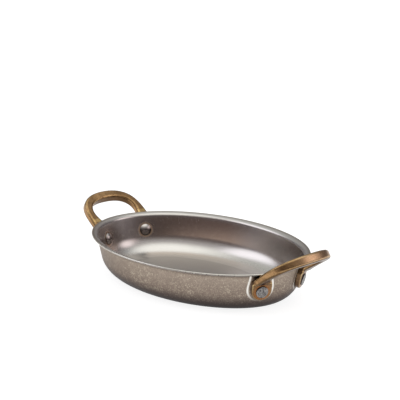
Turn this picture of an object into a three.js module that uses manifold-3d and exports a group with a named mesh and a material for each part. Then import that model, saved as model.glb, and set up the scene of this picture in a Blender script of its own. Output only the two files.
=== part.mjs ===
// Oval serving dish of pressed steel with a cast brass loop handle riveted to each end.
// Millimetres, +Z up. The origin is the middle of the underside, +X runs along the dish.

import * as THREE from 'three';
import { mergeVertices } from 'three/addons/utils/BufferGeometryUtils.js';
import Module from 'manifold-3d';

// Dish body: rim size, sheet and section
const RIM_LENGTH = 165;
const RIM_WIDTH = 120;
const BODY_HEIGHT = 28;
const SHEET = 1;
const LIP_WIDTH = 3.5;
const LIP_ANGLE = 17;
const LIP_BEND_RADIUS = 1.5;
const WALL_LEAN = 12.5;
const BASE_RADIUS = 15.4;
const STANDING_RING_WIDTH = 2.4;
const PANEL_RAMP_WIDTH = 1.2;
const PANEL_RISE = 0.6;

// Rivets
const RIVET_SPACING = 35;
const RIVET_DROP = 12;
const SHANK_DIAMETER = 5;
const HEAD_DIAMETER = 8.2;
const HEAD_SKIRT = 0.4;
const DOME_HEIGHT = 1.8;
const TAIL_DIAMETER = 7.8;
const TAIL_HEIGHT = 0.6;
const TAIL_CHAMFER = 0.2;

// Handle lugs, paddles that are round below the rivet and nearly square above it
const LUG_WIDTH = 13;
const LUG_LIFT = 0.4;
const LUG_RISE = 8;
const LUG_CORNER_RADIUS = 4;
const LUG_THICKNESS = 2.7;
const LUG_CHAMFER = 0.6;

// Handle root, where the leg grows out of the lug above the rivet
const ROOT_RISE = 5.2;
const ROOT_STANDOFF = 1.1;
const ROOT_PULL = 1;
const ROOT_WIDTH = 12.5;
const ROOT_HEIGHT = 4.2;
const TAPER_LENGTH = 20;

// Handle legs, from their feet below the lip
const FOOT_SPREAD = 36.8;
const FOOT_DROP = 4;
const FOOT_STANDOFF = 2.4;
const LEG_TILT = 44.5;
const LEG_FLARE = 13;
const LEG_PULL = 9;
const LEG_WIDTH = 5.3;
const LEG_HEIGHT = 5;

// Handle grip, the middle of the loop
const GRIP_REACH = 15;
const GRIP_RISE = 10.7;
const GRIP_TILT = 30;
const GRIP_PULL = 24.8;
const GRIP_WIDTH = 6.6;
const GRIP_HEIGHT = 6.3;

// Bar section: its edges, and how far it lies below the bar's line away from the roots
const BAR_EDGE_RADIUS = 1.6;
const BAR_SINK = 0.6;

// Clearance of every seat and rivet hole
const SEAT_GAP = 0.3;

// Facets
const STEPS_AROUND_DISH = 72;
const STEPS_BASE_ARC = 6;
const STEPS_LIP_BEND = 3;
const STEPS_ROOT = 3;
const STEPS_HALF_LOOP = 14;
const STEPS_BAR_EDGE = 2;
const STEPS_ROUND = 28;
const STEPS_LUG_ARC = 10;
const STEPS_DOME = 4;
const SAME_POINT = 0.0001;
const SHORT_EDGE = 0.02;
const SAME_ANGLE = 1e-9;

const DISH_COLOUR = 0x968d84;
const BRASS_COLOUR = 0x8c6a3a;
const RIVET_COLOUR = 0x8b8c8d;

const rimA = RIM_LENGTH / 2;
const rimB = RIM_WIDTH / 2;
const lean = THREE.MathUtils.degToRad(WALL_LEAN);
const lip = THREE.MathUtils.degToRad(LIP_ANGLE);
const holeRadius = SHANK_DIAMETER / 2 + SEAT_GAP;

// Section of the dish, as inset from the rim's outline and height.
// The outer lip line ends at inset 0, and meets the outer wall line in a corner that is then rounded.
const lipEnd = new THREE.Vector2(0, BODY_HEIGHT - SHEET * Math.cos(lip));
const lipCorner = new THREE.Vector2(LIP_WIDTH, lipEnd.y - LIP_WIDTH * Math.tan(lip));
const bendTangent = LIP_BEND_RADIUS * Math.tan((Math.PI / 2 - lean - lip) / 2);
const bendCentre = new THREE.Vector2(
  lipCorner.x + bendTangent * Math.sin(lean) - LIP_BEND_RADIUS * Math.cos(lean),
  lipCorner.y - bendTangent * Math.cos(lean) - LIP_BEND_RADIUS * Math.sin(lean),
);
const arcTop = BASE_RADIUS * (1 - Math.sin(lean));
const arcCentre = new THREE.Vector2(
  lipCorner.x + (lipCorner.y - arcTop) * Math.tan(lean) + BASE_RADIUS * Math.cos(lean),
  BASE_RADIUS,
);

const wasm = await Module();
wasm.setup();

// Points closer than the tolerance become one, and triangles that this closes up are dropped.
function welded(geometry, tolerance) {
  const bare = geometry.clone();
  bare.deleteAttribute('normal');
  bare.deleteAttribute('uv');
  const merged = mergeVertices(bare, tolerance);
  const index = merged.index.array;
  const triangles = [];
  for (let i = 0; i < index.length; i += 3) {
    const [a, b, c] = index.slice(i, i + 3);
    if (a !== b && b !== c && c !== a) triangles.push(a, b, c);
  }
  merged.setIndex(triangles);
  return merged;
}

function solidOf(geometry) {
  const closed = welded(geometry, SAME_POINT);
  return new wasm.Manifold(new wasm.Mesh({
    numProp: 3,
    vertProperties: new Float32Array(closed.attributes.position.array),
    triVerts: new Uint32Array(closed.index.array),
  }));
}

function geometryOf(solid) {
  const mesh = solid.getMesh();
  const geometry = new THREE.BufferGeometry();
  geometry.setAttribute('position', new THREE.BufferAttribute(mesh.vertProperties, 3));
  geometry.setIndex(new THREE.BufferAttribute(mesh.triVerts, 1));
  const closed = welded(geometry, SHORT_EDGE);
  closed.computeVertexNormals();
  return closed;
}

// A closed skin over rings of equal count, with a fan to a middle point at each end.
function skin(rings, firstMiddle, lastMiddle) {
  const count = rings[0].length;
  const points = [...rings.flat(), firstMiddle, lastMiddle];
  const first = points.length - 2;
  const last = points.length - 1;
  const faces = [];
  for (let k = 0; k < count; k += 1) {
    const next = (k + 1) % count;
    faces.push(first, next, k);
    for (let r = 0; r < rings.length - 1; r += 1) {
      const low = r * count;
      const high = low + count;
      faces.push(low + k, low + next, high + next, low + k, high + next, high + k);
    }
    const top = (rings.length - 1) * count;
    faces.push(last, top + k, top + next);
  }
  const geometry = new THREE.BufferGeometry().setFromPoints(points);
  geometry.setIndex(faces);
  return geometry;
}

// The rim is an ellipse, and every level of the dish is a parallel curve of it.
function rimNormal(angle) {
  return new THREE.Vector3(rimB * Math.cos(angle), rimA * Math.sin(angle), 0).normalize();
}

function dishPoint(angle, inset, z) {
  const rim = new THREE.Vector3(rimA * Math.cos(angle), rimB * Math.sin(angle), z);
  return rim.addScaledVector(rimNormal(angle), -inset);
}

function dishRing({ x: inset, y: z }) {
  return Array.from({ length: STEPS_AROUND_DISH }, (_, k) => (
    dishPoint((2 * Math.PI * k) / STEPS_AROUND_DISH, inset, z)
  ));
}

// The sheet's face at a depth from the outside, from the raised floor panel out to the lip's edge.
function sheetFace(depth, lipReach) {
  const face = [
    new THREE.Vector2(arcCentre.x + STANDING_RING_WIDTH + PANEL_RAMP_WIDTH, PANEL_RISE + depth),
    new THREE.Vector2(arcCentre.x + STANDING_RING_WIDTH, depth),
  ];
  for (let i = 0; i <= STEPS_BASE_ARC; i += 1) {
    const turn = ((Math.PI / 2 - lean) * i) / STEPS_BASE_ARC;
    const towards = new THREE.Vector2(-Math.sin(turn), -Math.cos(turn));
    face.push(arcCentre.clone().addScaledVector(towards, BASE_RADIUS - depth));
  }
  for (let i = 0; i <= STEPS_LIP_BEND; i += 1) {
    const turn = THREE.MathUtils.lerp(Math.PI / 2 - lean, lip, i / STEPS_LIP_BEND);
    const towards = new THREE.Vector2(Math.sin(turn), Math.cos(turn));
    face.push(bendCentre.clone().addScaledVector(towards, LIP_BEND_RADIUS + depth));
  }
  face.push(new THREE.Vector2(
    lipEnd.x + depth * Math.sin(lip) - lipReach * Math.cos(lip),
    lipEnd.y + depth * Math.cos(lip) + lipReach * Math.sin(lip),
  ));
  return face;
}

// The sheet grown by a clearance on every side: with no clearance, the sheet itself.
function dishShell(clearance) {
  const outside = sheetFace(-clearance, clearance);
  const inside = sheetFace(SHEET + clearance, clearance);
  const section = [...outside, ...inside.reverse()];
  const under = new THREE.Vector3(0, 0, PANEL_RISE - clearance);
  const over = new THREE.Vector3(0, 0, PANEL_RISE + SHEET + clearance);
  return solidOf(skin(section.map(dishRing), under, over));
}

// The wall's outside at a height: its inset, and how far its normal points down.
function wallAt(z) {
  if (z >= arcTop) {
    return { inset: lipCorner.x + (lipCorner.y - z) * Math.tan(lean), down: lean };
  }
  const down = Math.asin((BASE_RADIUS - z) / BASE_RADIUS);
  return { inset: arcCentre.x - BASE_RADIUS * Math.cos(down), down };
}

// A frame on the outer wall at the +X end: Y points out of the wall and Z up along it.
function wallFrame(y, z) {
  const { inset, down } = wallAt(z);
  let low = 0;
  let high = Math.PI / 2;
  while (high - low > SAME_ANGLE) {
    const middle = (low + high) / 2;
    if (dishPoint(middle, inset, z).y < Math.abs(y)) low = middle;
    else high = middle;
  }
  const angle = Math.sign(y) * low;
  const level = rimNormal(angle);
  const out = level.clone().multiplyScalar(Math.cos(down)).setZ(-Math.sin(down));
  const up = level.clone().multiplyScalar(Math.sin(down)).setZ(Math.cos(down));
  const origin = dishPoint(angle, inset, z);
  const across = out.clone().cross(up);
  return { origin, out, up, matrix: new THREE.Matrix4().makeBasis(across, out, up).setPosition(origin) };
}

function rivetFrame(side) {
  return wallFrame((side * RIVET_SPACING) / 2, BODY_HEIGHT - RIVET_DROP);
}

function turned(profile) {
  return new THREE.LatheGeometry(profile.map(([r, y]) => new THREE.Vector2(r, y)), STEPS_ROUND);
}

// A round rod along the frame's normal, between two distances from the outer wall.
function rod(radius, from, to) {
  return new THREE.CylinderGeometry(radius, radius, to - from, STEPS_ROUND)
    .translate(0, (from + to) / 2, 0);
}

const clearanceShell = dishShell(SEAT_GAP);
const sides = [-1, 1];

// The left end is the right end turned half round.
const handleEnds = [
  { end: 'right', turn: 0, rivets: { front: -1, rear: 1 } },
  { end: 'left', turn: Math.PI, rivets: { front: 1, rear: -1 } },
];

// A hole through the sheet and the lug, at the end of the dish that the turn gives.
function rivetHole(side, turn) {
  const depth = SHEET + LUG_THICKNESS;
  const hole = rod(holeRadius, -depth, depth).applyMatrix4(rivetFrame(side).matrix);
  return solidOf(hole.rotateZ(turn));
}

function dishGeometry() {
  let dish = dishShell(0);
  for (const { turn } of handleEnds) {
    for (const side of sides) dish = dish.subtract(rivetHole(side, turn));
  }
  return geometryOf(dish);
}

// Domed head inside the dish, shank through wall and lug, tail hammered flat on the lug.
function rivetGeometry(side) {
  const { matrix } = rivetFrame(side);
  const headRadius = HEAD_DIAMETER / 2;
  const brow = -(SHEET + SEAT_GAP + HEAD_SKIRT);
  const domeRadius = (headRadius ** 2 + DOME_HEIGHT ** 2) / (2 * DOME_HEIGHT);
  const domeAngle = Math.asin(headRadius / domeRadius);
  const dome = Array.from({ length: STEPS_DOME + 1 }, (_, i) => {
    const turn = (domeAngle * i) / STEPS_DOME;
    return [
      domeRadius * Math.sin(turn),
      brow - DOME_HEIGHT + domeRadius * (1 - Math.cos(turn)),
    ];
  });
  const head = solidOf(turned([...dome, [headRadius, -SHEET / 2], [0, -SHEET / 2]]).applyMatrix4(matrix));

  const tailRadius = TAIL_DIAMETER / 2;
  const seat = LUG_THICKNESS + SEAT_GAP;
  const tail = solidOf(turned([
    [0, seat],
    [tailRadius, seat],
    [tailRadius, seat + TAIL_HEIGHT - TAIL_CHAMFER],
    [tailRadius - TAIL_CHAMFER, seat + TAIL_HEIGHT],
    [0, seat + TAIL_HEIGHT],
  ]).applyMatrix4(matrix));

  const shank = solidOf(rod(SHANK_DIAMETER / 2, brow, seat + TAIL_HEIGHT / 2).applyMatrix4(matrix));
  return geometryOf(head.subtract(clearanceShell).add(shank).add(tail));
}

// A lug reaches into the sheet, where its back is then cut to the wall's curve.
function lugSolid(side) {
  const radius = LUG_WIDTH / 2;
  const cornerX = radius - LUG_CORNER_RADIUS;
  const cornerY = LUG_RISE - LUG_CORNER_RADIUS;
  const outline = new THREE.Shape();
  outline.absarc(0, LUG_LIFT, radius, Math.PI, 2 * Math.PI);
  outline.absarc(cornerX, cornerY, LUG_CORNER_RADIUS, 0, Math.PI / 2);
  outline.absarc(-cornerX, cornerY, LUG_CORNER_RADIUS, Math.PI / 2, Math.PI);
  outline.closePath();
  const paddle = new THREE.ExtrudeGeometry(outline, {
    depth: LUG_THICKNESS + SHEET - 2 * LUG_CHAMFER,
    curveSegments: STEPS_LUG_ARC,
    bevelSegments: 1,
    bevelThickness: LUG_CHAMFER,
    bevelSize: LUG_CHAMFER,
    bevelOffset: -LUG_CHAMFER,
  });
  paddle.rotateX(Math.PI / 2).translate(0, LUG_THICKNESS - LUG_CHAMFER, 0);
  return solidOf(paddle.applyMatrix4(rivetFrame(side).matrix));
}

// Centre line of the bar: a short root on the lug, then one sweep from the leg's foot to the grip.
function barCurves() {
  const tilt = THREE.MathUtils.degToRad(LEG_TILT);
  const flare = THREE.MathUtils.degToRad(LEG_FLARE);
  const legWay = new THREE.Vector3(
    Math.cos(tilt) * Math.cos(flare),
    -Math.sin(flare),
    Math.sin(tilt) * Math.cos(flare),
  );
  const lug = rivetFrame(-1);
  const foot = wallFrame(-FOOT_SPREAD / 2, BODY_HEIGHT - FOOT_DROP);
  const rootStart = lug.origin.clone()
    .addScaledVector(lug.up, ROOT_RISE)
    .addScaledVector(lug.out, ROOT_STANDOFF);
  const legStart = foot.origin.clone().addScaledVector(foot.out, FOOT_STANDOFF);
  const grip = new THREE.Vector3(rimA + GRIP_REACH, 0, BODY_HEIGHT + GRIP_RISE);
  const root = new THREE.CubicBezierCurve3(
    rootStart,
    rootStart.clone().addScaledVector(lug.up, ROOT_PULL),
    legStart.clone().addScaledVector(legWay, -ROOT_PULL),
    legStart,
  );
  const loop = new THREE.CubicBezierCurve3(
    legStart,
    legStart.clone().addScaledVector(legWay, LEG_PULL),
    grip.clone().setY(-GRIP_PULL),
    grip,
  );
  return { root, loop };
}

// The bar's section is a rectangle with rounded edges, drawn in its frame at one station.
function barRing({ point, tangent, top, width, height, sink }) {
  const outward = tangent.clone().cross(top).normalize();
  const upward = outward.clone().cross(tangent).normalize();
  const ring = [];
  for (let corner = 0; corner < 4; corner += 1) {
    const above = corner === 0 || corner === 3 ? 1 : -1;
    const beyond = corner < 2 ? 1 : -1;
    for (let i = 0; i <= STEPS_BAR_EDGE; i += 1) {
      const turn = (Math.PI / 2) * (corner + i / STEPS_BAR_EDGE);
      const rise = above * (height / 2 - BAR_EDGE_RADIUS) + BAR_EDGE_RADIUS * Math.cos(turn) - sink;
      const reach = beyond * (width / 2 - BAR_EDGE_RADIUS) + BAR_EDGE_RADIUS * Math.sin(turn);
      ring.push(point.clone().addScaledVector(upward, rise).addScaledVector(outward, reach));
    }
  }
  return ring;
}

// Stations from the front lug to the grip's middle. The bar turns from lying on the wall to the grip's tilt.
function barStations() {
  const { root, loop } = barCurves();
  const rootLength = root.getLength();
  const loopLength = loop.getLength();
  const wallTop = rivetFrame(-1).out.clone().negate();
  const topAt = (degrees) => {
    const tilt = THREE.MathUtils.degToRad(degrees);
    return new THREE.Vector3(-Math.sin(tilt), 0, Math.cos(tilt));
  };
  const station = (curve, u, top, travelled) => {
    const taper = 1 - (1 - Math.min(travelled / TAPER_LENGTH, 1)) ** 2;
    const swell = THREE.MathUtils.smoothstep(travelled, rootLength, rootLength + loopLength);
    const width = THREE.MathUtils.lerp(ROOT_WIDTH, LEG_WIDTH, taper) + swell * (GRIP_WIDTH - LEG_WIDTH);
    const height = THREE.MathUtils.lerp(ROOT_HEIGHT, LEG_HEIGHT, taper) + swell * (GRIP_HEIGHT - LEG_HEIGHT);
    const sink = taper * BAR_SINK;
    return { point: curve.getPointAt(u), tangent: curve.getTangentAt(u), top, width, height, sink };
  };
  const stations = [];
  for (let i = 0; i < STEPS_ROOT; i += 1) {
    const u = i / STEPS_ROOT;
    const top = wallTop.clone().lerp(topAt(LEG_TILT), u).normalize();
    stations.push(station(root, u, top, u * rootLength));
  }
  for (let i = 0; i <= STEPS_HALF_LOOP; i += 1) {
    const u = i / STEPS_HALF_LOOP;
    const top = topAt(THREE.MathUtils.lerp(LEG_TILT, GRIP_TILT, u));
    stations.push(station(loop, u, top, rootLength + u * loopLength));
  }
  return stations;
}

function mirroredStation({ point, tangent, top, width, height, sink }) {
  return {
    point: point.clone().setY(-point.y),
    tangent: tangent.clone().multiply(new THREE.Vector3(-1, 1, -1)),
    top: top.clone().setY(-top.y),
    width,
    height,
    sink,
  };
}

function barSolid() {
  const half = barStations();
  const otherHalf = half.slice(0, -1).reverse().map(mirroredStation);
  const stations = [...half, ...otherHalf];
  const rings = stations.map(barRing);
  return solidOf(skin(rings, stations[0].point, stations[stations.length - 1].point));
}

function handleGeometry() {
  let handle = barSolid();
  for (const side of sides) handle = handle.add(lugSolid(side));
  handle = handle.subtract(clearanceShell);
  for (const side of sides) handle = handle.subtract(rivetHole(side, 0));
  return geometryOf(handle);
}

function named(name, geometry, material) {
  const mesh = new THREE.Mesh(geometry, material);
  mesh.name = name;
  return mesh;
}

const steel = new THREE.MeshStandardMaterial({ color: DISH_COLOUR, roughness: 0.42, metalness: 1 });
const brass = new THREE.MeshStandardMaterial({ color: BRASS_COLOUR, roughness: 0.4, metalness: 1 });
const rivetSteel = new THREE.MeshStandardMaterial({ color: RIVET_COLOUR, roughness: 0.35, metalness: 1 });

const dish = new THREE.Group();
dish.add(named('dish_body', dishGeometry(), steel));

const handleShape = handleGeometry();
for (const { end, turn, rivets } of handleEnds) {
  const group = new THREE.Group();
  group.rotation.z = turn;
  group.add(named(`${end}_handle`, handleShape, brass));
  for (const [place, side] of Object.entries(rivets)) {
    group.add(named(`${end}_${place}_rivet`, rivetGeometry(side), rivetSteel));
  }
  dish.add(group);
}

export default dish;
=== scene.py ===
"""Looks of an oval serving dish: pressed steel, cast brass handles, rivets, studio light and camera.

Sizes are in millimetres, +Z up, and become metres where a mesh is made or an object is placed.
"""
import math

import bpy
import numpy as np
from mathutils import Matrix, Vector


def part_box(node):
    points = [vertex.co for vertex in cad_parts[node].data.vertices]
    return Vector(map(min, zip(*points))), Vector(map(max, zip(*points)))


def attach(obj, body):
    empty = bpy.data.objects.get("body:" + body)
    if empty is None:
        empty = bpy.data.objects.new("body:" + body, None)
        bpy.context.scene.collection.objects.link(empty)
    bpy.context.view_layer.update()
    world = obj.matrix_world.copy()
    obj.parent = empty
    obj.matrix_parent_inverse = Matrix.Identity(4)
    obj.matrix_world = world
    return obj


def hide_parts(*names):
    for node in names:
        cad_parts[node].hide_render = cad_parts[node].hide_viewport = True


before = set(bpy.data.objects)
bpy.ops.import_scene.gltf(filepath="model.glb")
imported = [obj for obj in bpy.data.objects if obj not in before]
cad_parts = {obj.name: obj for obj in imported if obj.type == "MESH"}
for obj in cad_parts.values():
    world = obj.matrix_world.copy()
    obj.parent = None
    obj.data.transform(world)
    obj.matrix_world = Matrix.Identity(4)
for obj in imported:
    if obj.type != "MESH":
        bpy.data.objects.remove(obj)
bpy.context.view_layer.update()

MM = 0.001

# Dish body's section, as in the CAD model. The rim's size and the height come from the frame.
SHEET = 1.0
LIP_WIDTH = 3.5
LIP_ANGLE = math.radians(17)
LIP_BEND_RADIUS = 1.5
LIP_TOP_RADIUS = 0.55
LIP_UNDER_RADIUS = 0.12
WALL_LEAN = math.radians(12.5)
BASE_RADIUS = 15.4
STANDING_RING_WIDTH = 2.4
PANEL_RAMP_WIDTH = 1.2
PANEL_RISE = 0.6

# Rivets. The hammer's dents are waves, each with its run across and up the tail's face and its phase.
RIVET_SPACING = 35.0
RIVET_DROP = 12.0
SHANK_DIAMETER = 5.0
HEAD_DIAMETER = 8.2
HEAD_SKIRT = 0.35
HEAD_EDGE_RADIUS = 0.25
DOME_HEIGHT = 1.8
TAIL_DIAMETER = 7.8
TAIL_HEIGHT = 0.6
TAIL_EDGE_RADIUS = 0.3
DENT_DEPTH = 0.14
DENT_SIZE = 1.1
DENT_WAVES = ((0.9, 0.4, 1), (-0.5, 0.7, 2))
RIVET_SEAT = 0.3

# Handle lugs
LUG_WIDTH = 13.0
LUG_LIFT = 0.4
LUG_RISE = 8.0
LUG_CORNER_RADIUS = 4.0
LUG_THICKNESS = 2.7
LUG_EDGE_RADIUS = 0.7

# Handle bar: root on the lug, leg and grip
ROOT_RISE = 5.2
ROOT_STANDOFF = 1.1
ROOT_PULL = 1.0
ROOT_WIDTH = 12.5
ROOT_HEIGHT = 4.2
TAPER_LENGTH = 20.0
FOOT_SPREAD = 36.8
FOOT_DROP = 4.0
FOOT_STANDOFF = 2.4
LEG_TILT = math.radians(44.5)
LEG_FLARE = math.radians(13)
LEG_PULL = 9.0
LEG_WIDTH = 5.3
LEG_HEIGHT = 5.0
GRIP_REACH = 15.0
GRIP_RISE = 10.7
GRIP_TILT = math.radians(30)
GRIP_PULL = 24.8
GRIP_WIDTH = 6.6
GRIP_HEIGHT = 6.3
BAR_EDGE_RADIUS = 1.6
BAR_SINK = 0.6
HANDLE_SEAT = 0.12

# Facets and shading. A rivet's half section has STEPS_SHANK points between its dome and its tail's edge.
STEPS_AROUND_DISH = 288
STEPS_BASE_ARC = 28
STEPS_LIP_BEND = 8
STEPS_LIP_EDGE = 6
STEPS_PANEL_RAMP = 8
STEPS_PANEL = 6
STEPS_ROUND = 64
STEPS_DOME = 14
STEPS_SHANK = 5
STEPS_EDGE = 5
STEPS_TAIL = 10
STEPS_ROOT = 8
STEPS_HALF_LOOP = 48
HANDLE_VOXEL = 0.25
HANDLE_SMOOTHING = 0.5
HANDLE_SMOOTHING_ROUNDS = 4
DISH_CREASE = math.radians(40)
HANDLE_CREASE = math.radians(50)
RIVET_CREASE = math.radians(40)
ANGLE_TOLERANCE = 1e-9

# Camera, fitted to the photograph: angles, distance and the point in the middle of the picture
CAMERA_AZIMUTH = math.radians(45.897)
CAMERA_ELEVATION = math.radians(14.584)
CAMERA_ROLL = math.radians(0.708)
CAMERA_DISTANCE = 783.24
CAMERA_LENS = 106.64
CAMERA_SENSOR = 36.0
CAMERA_CLIP = 10.0
PICTURE_RIGHT = 1.39
PICTURE_UP = 53.16

dish_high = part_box("dish_body")[1]
rim_a = dish_high.x / MM
rim_b = dish_high.y / MM
body_height = dish_high.z / MM


# Section of the dish, as inset from the rim's outline and height

def polar(centre, radius, angle):
    return (centre[0] + radius * math.cos(angle), centre[1] + radius * math.sin(angle))


def arc(centre, radius, start, end, steps):
    return [polar(centre, radius, start + (end - start) * i / steps) for i in range(steps + 1)]


def smooth(t):
    t = min(max(t, 0.0), 1.0)
    return t * t * (3 - 2 * t)


lip_end = (0.0, body_height - SHEET * math.cos(LIP_ANGLE))
lip_corner = (LIP_WIDTH, lip_end[1] - LIP_WIDTH * math.tan(LIP_ANGLE))
bend_tangent = LIP_BEND_RADIUS * math.tan((math.pi / 2 - WALL_LEAN - LIP_ANGLE) / 2)
bend_centre = (
    lip_corner[0] + bend_tangent * math.sin(WALL_LEAN) - LIP_BEND_RADIUS * math.cos(WALL_LEAN),
    lip_corner[1] - bend_tangent * math.cos(WALL_LEAN) - LIP_BEND_RADIUS * math.sin(WALL_LEAN),
)
arc_top = BASE_RADIUS * (1 - math.sin(WALL_LEAN))
arc_centre = (
    lip_corner[0] + (lip_corner[1] - arc_top) * math.tan(WALL_LEAN) + BASE_RADIUS * math.cos(WALL_LEAN),
    BASE_RADIUS,
)
panel_inset = arc_centre[0] + STANDING_RING_WIDTH + PANEL_RAMP_WIDTH


def sheet_face(depth):
    """One face of the sheet at a depth from the outside, from the floor panel to the lip's bend."""
    face = []
    for i in range(STEPS_PANEL_RAMP + 1):
        t = i / STEPS_PANEL_RAMP
        face.append((panel_inset - t * PANEL_RAMP_WIDTH, depth + PANEL_RISE * (1 - smooth(t))))
    face += arc(arc_centre, BASE_RADIUS - depth, -math.pi / 2, WALL_LEAN - math.pi, STEPS_BASE_ARC)
    face += arc(bend_centre, LIP_BEND_RADIUS + depth, WALL_LEAN, math.pi / 2 - LIP_ANGLE, STEPS_LIP_BEND)
    return face


def lip_edge(grow):
    """The lip's cut edge with both corners rounded, from the outside to the inside."""
    inward = math.pi / 2 - LIP_ANGLE
    quarter = math.pi / 2
    points = []
    for radius, depth, start in (
        (LIP_UNDER_RADIUS, LIP_UNDER_RADIUS, inward + 2 * quarter),
        (LIP_TOP_RADIUS, SHEET - LIP_TOP_RADIUS, inward + quarter),
    ):
        centre = polar(polar(lip_end, depth, inward), -radius, inward + quarter)
        points += arc(centre, radius + grow, start, start - quarter, STEPS_LIP_EDGE)
    return points


def rim_normal(angle):
    normal = np.array((rim_b * math.cos(angle), rim_a * math.sin(angle), 0.0))
    return normal / np.linalg.norm(normal)


def dish_point(angle, inset, z):
    rim = np.array((rim_a * math.cos(angle), rim_b * math.sin(angle), z))
    return rim - inset * rim_normal(angle)


def dish_ring(inset, z):
    turns = np.arange(STEPS_AROUND_DISH) * 2 * math.pi / STEPS_AROUND_DISH
    return [dish_point(angle, inset, z) for angle in turns]


def panel_rings(inset, z):
    """Rings of the flat floor panel, from near its middle out to its edge."""
    edge = dish_ring(inset, z)
    shares = [(i + 1) / STEPS_PANEL for i in range(STEPS_PANEL - 1)]
    return [[point * (share, share, 1) for point in edge] for share in shares]


# Meshes

def skin(name, rings, first, last):
    """A closed mesh over rings of equal count, with a fan to a middle point at each end.

    The two middle points are the mesh's last points.
    """
    count = len(rings[0])
    points = [point for ring in rings for point in ring] + [first, last]
    faces = []
    for k in range(count):
        after = (k + 1) % count
        faces.append((len(points) - 2, after, k))
        for low in range(0, (len(rings) - 1) * count, count):
            faces.append((low + k, low + after, low + count + after, low + count + k))
        top = (len(rings) - 1) * count
        faces.append((len(points) - 1, top + k, top + after))
    mesh = bpy.data.meshes.new(name)
    mesh.from_pydata([Vector(point) * MM for point in points], [], faces)
    mesh.validate()
    piece = bpy.data.objects.new(name, mesh)
    bpy.context.scene.collection.objects.link(piece)
    return piece


def settle(piece):
    """Applies the piece's modifiers to its mesh."""
    graph = bpy.context.evaluated_depsgraph_get()
    mesh = bpy.data.meshes.new_from_object(piece.evaluated_get(graph))
    piece.modifiers.clear()
    piece.data = mesh


def combine(piece, other, operation):
    cut = piece.modifiers.new(operation, "BOOLEAN")
    cut.operation = operation
    cut.solver = "MANIFOLD"
    cut.object = other
    settle(piece)


def discard(piece):
    bpy.data.objects.remove(piece)


def shade(piece, crease):
    """Smooth shading, with edges sharper than the crease angle left hard."""
    piece.data.shade_smooth()
    piece.data.set_sharp_from_angle(angle=crease)


def place(piece, node, slot):
    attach(piece, "root")
    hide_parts(node)


# Frames on the outer wall

def wall_at(z):
    """The outer wall's inset at a height, and how far its normal points down."""
    if z >= arc_top:
        return lip_corner[0] + (lip_corner[1] - z) * math.tan(WALL_LEAN), WALL_LEAN
    down = math.asin((BASE_RADIUS - z) / BASE_RADIUS)
    return arc_centre[0] - BASE_RADIUS * math.cos(down), down


class WallFrame:
    """A place on the outer wall at the +X end, with its directions across, out of and up the wall."""

    def __init__(self, y, z):
        inset, down = wall_at(z)
        low, high = 0.0, math.pi / 2
        while high - low > ANGLE_TOLERANCE:
            middle = (low + high) / 2
            if dish_point(middle, inset, z)[1] < abs(y):
                low = middle
            else:
                high = middle
        angle = math.copysign(low, y)
        level = rim_normal(angle)
        self.origin = dish_point(angle, inset, z)
        self.out = level * math.cos(down) - np.array((0, 0, math.sin(down)))
        self.up = level * math.sin(down) + np.array((0, 0, math.cos(down)))
        self.across = np.cross(self.out, self.up)

    def point(self, across, out, up):
        return self.origin + across * self.across + out * self.out + up * self.up


rivet_height = body_height - RIVET_DROP
rivet_frames = {side: WallFrame(side * RIVET_SPACING / 2, rivet_height) for side in (-1, 1)}


# Dish

def make_dish():
    outside = sheet_face(0.0)
    inside = sheet_face(SHEET)
    section = outside + lip_edge(0.0) + inside[::-1]
    under = PANEL_RISE
    over = PANEL_RISE + SHEET
    rings = panel_rings(panel_inset, under)
    rings += [dish_ring(inset, z) for inset, z in section]
    rings += panel_rings(panel_inset, over)[::-1]
    return skin("oval_dish", rings, np.array((0, 0, under)), np.array((0, 0, over)))


def make_clear_space():
    """The sheet grown by the handle's seat, which is cut away from the handles."""
    section = sheet_face(-HANDLE_SEAT) + lip_edge(HANDLE_SEAT) + sheet_face(SHEET + HANDLE_SEAT)[::-1]
    rings = [dish_ring(inset, z) for inset, z in section]
    under = np.array((0, 0, PANEL_RISE - HANDLE_SEAT))
    over = np.array((0, 0, PANEL_RISE + SHEET + HANDLE_SEAT))
    return skin("clear_space", rings, under, over)


# Handles

def bezier(p0, p1, p2, p3, t):
    point = (1 - t) ** 3 * p0 + 3 * t * (1 - t) ** 2 * p1 + 3 * t * t * (1 - t) * p2 + t ** 3 * p3
    way = (1 - t) ** 2 * (p1 - p0) + 2 * t * (1 - t) * (p2 - p1) + t * t * (p3 - p2)
    return point, way / np.linalg.norm(way)


def tilted_top(tilt):
    return np.array((-math.sin(tilt), 0.0, math.cos(tilt)))


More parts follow.
